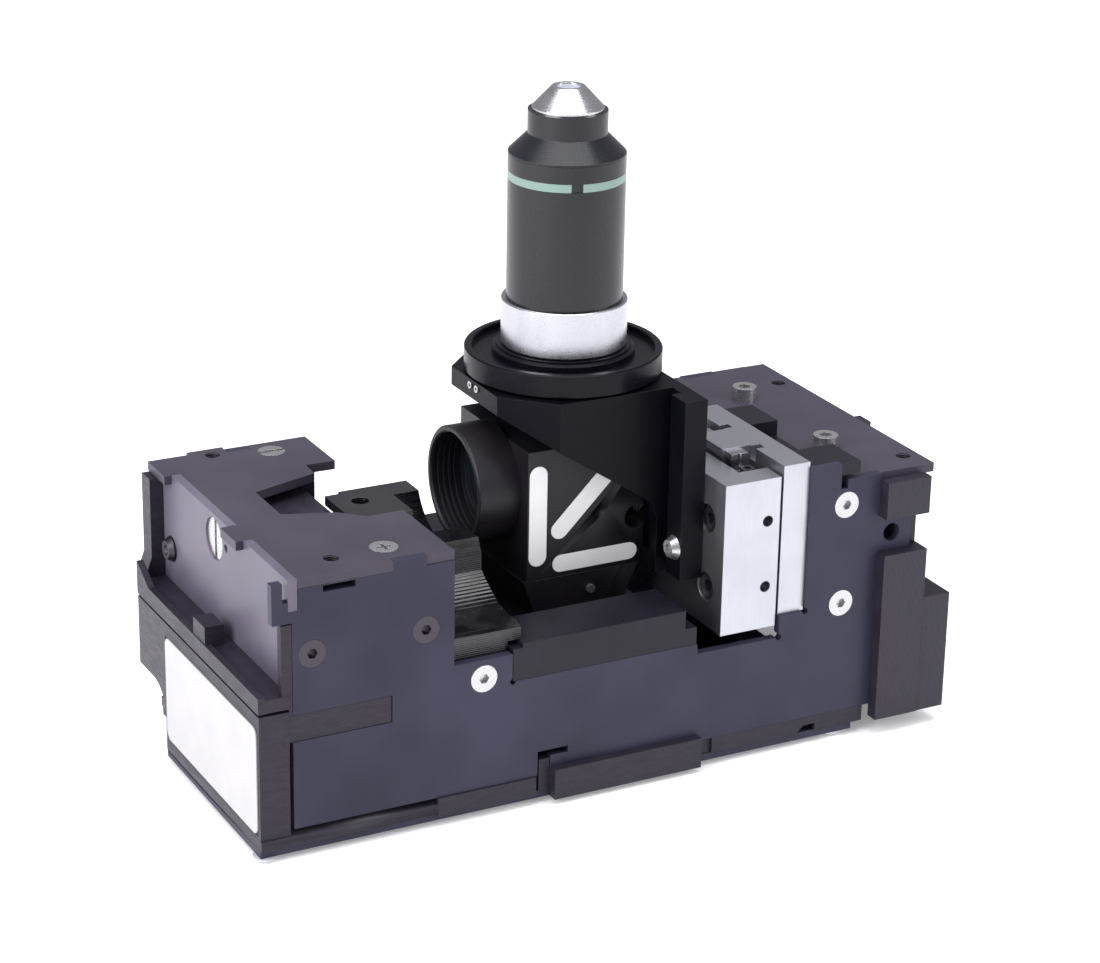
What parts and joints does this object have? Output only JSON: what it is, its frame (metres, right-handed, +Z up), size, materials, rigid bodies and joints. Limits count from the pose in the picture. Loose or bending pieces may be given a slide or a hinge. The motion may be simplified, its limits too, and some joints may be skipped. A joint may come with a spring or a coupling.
{
  "type": "inverted microscope",
  "caption": "Compact inverted fluorescence microscope without its outer case: plate chassis, filter cube, and an upright objective on a roller focus stage.",
  "frame": {"origin": "on the table, under the middle of the footprint", "axes": "+X along the front plate towards the focus stage, +Y away from the front plate, +Z up along the objective"},
  "size_m": [0.164, 0.0788, 0.1429],
  "materials": {
    "anodised_black": "black anodised, satin",
    "band_paint": "pale green",
    "black_steel": "black oxide",
    "bright_aluminium": "brushed",
    "bright_steel": "satin",
    "chrome_ring": "satin chrome",
    "circuit_board": "satin",
    "clear_rubber": "clear",
    "filter_glass": "coated",
    "label_face": "plain light",
    "lens_glass": "clear",
    "mark_paint": "white print",
    "mirror_glass": "polished",
    "objective_paint": "satin black",
    "painted_plate": "satin dark blue grey",
    "printed_black": "layered print"
  },
  "bodies": {
    "chassis": {"front_side_plate": "painted_plate", "back_side_plate": "painted_plate", "left_end_plate": "painted_plate", "right_end_plate": "painted_plate", "left_top_plate": "painted_plate", "right_top_plate": "painted_plate", "base_plate": "painted_plate", "left_base_block": "printed_black", "middle_base_block": "printed_black", "right_base_strip": "printed_black", "cross_bars": "anodised_black", "black_plate_screws": "black_steel", "silver_plate_screws": "bright_steel", "top_plate_screws": "bright_steel", "socket_top_screws": "bright_steel", "left_end_cover": "printed_black", "label_plate": "label_face", "left_cover_frame": "printed_black", "right_end_cover": "printed_black", "rubber_feet": "clear_rubber", "adjuster_bush": "anodised_black", "stage_mount": "anodised_black", "stage_fixed_block": "bright_aluminium", "fixed_rails": "bright_steel", "cube_upper_half": "anodised_black", "cube_lower_half": "anodised_black", "dichroic_mirror": "filter_glass", "emission_filter": "filter_glass", "exciter_ring": "anodised_black", "exciter_filter": "filter_glass", "cube_marks": "mark_paint", "cube_base": "anodised_black", "spring_pin": "bright_steel", "optics_block": "anodised_black", "light_tube_cradle": "printed_black", "fold_mirror": "mirror_glass", "mirror_bracket": "anodised_black", "tube_lens": "lens_glass", "camera_module": "anodised_black", "driver_housing": "printed_black", "control_board": "circuit_board"},
    "focus_carriage": {"stage_carriage": "bright_aluminium", "carriage_rails": "bright_steel", "rail_end_screws": "black_steel", "carriage_screws": "bright_steel", "bracket_back_plate": "anodised_black", "objective_bracket": "anodised_black", "bracket_screws": "bright_steel", "centring_screws": "bright_steel", "objective_dish": "anodised_black", "objective_seat_ring": "anodised_black", "objective_base_ring": "chrome_ring", "objective_barrel": "objective_paint", "objective_band": "band_paint", "objective_nose": "objective_paint", "objective_tip": "chrome_ring", "front_lens": "lens_glass", "objective_lens_cell": "anodised_black"},
    "roller_cage": {"roller_cages": "bright_steel"},
    "adjuster": {"adjuster_disc": "bright_steel"}
  },
  "joints": [
    {"name": "focus_slide", "type": "slide", "parent": "chassis", "child": "focus_carriage", "axis": [0, 0, 1], "range_m": [-0.0022, 0.0068]},
    {"name": "roller_cage_slide", "type": "slide", "parent": "chassis", "child": "roller_cage", "axis": [0, 0, 1], "range_m": [-0.0011, 0.0034]},
    {"name": "adjuster_turn", "type": "hinge", "parent": "chassis", "child": "adjuster", "pos_m": [-0.07605, 0.0025, 0.0557], "axis": [-1, 0, 0], "range_deg": [-90, 90]}
  ],
  "couplings": [
    {"joint": "roller_cage_slide", "follows": "focus_slide", "ratio": 0.5}
  ]
}
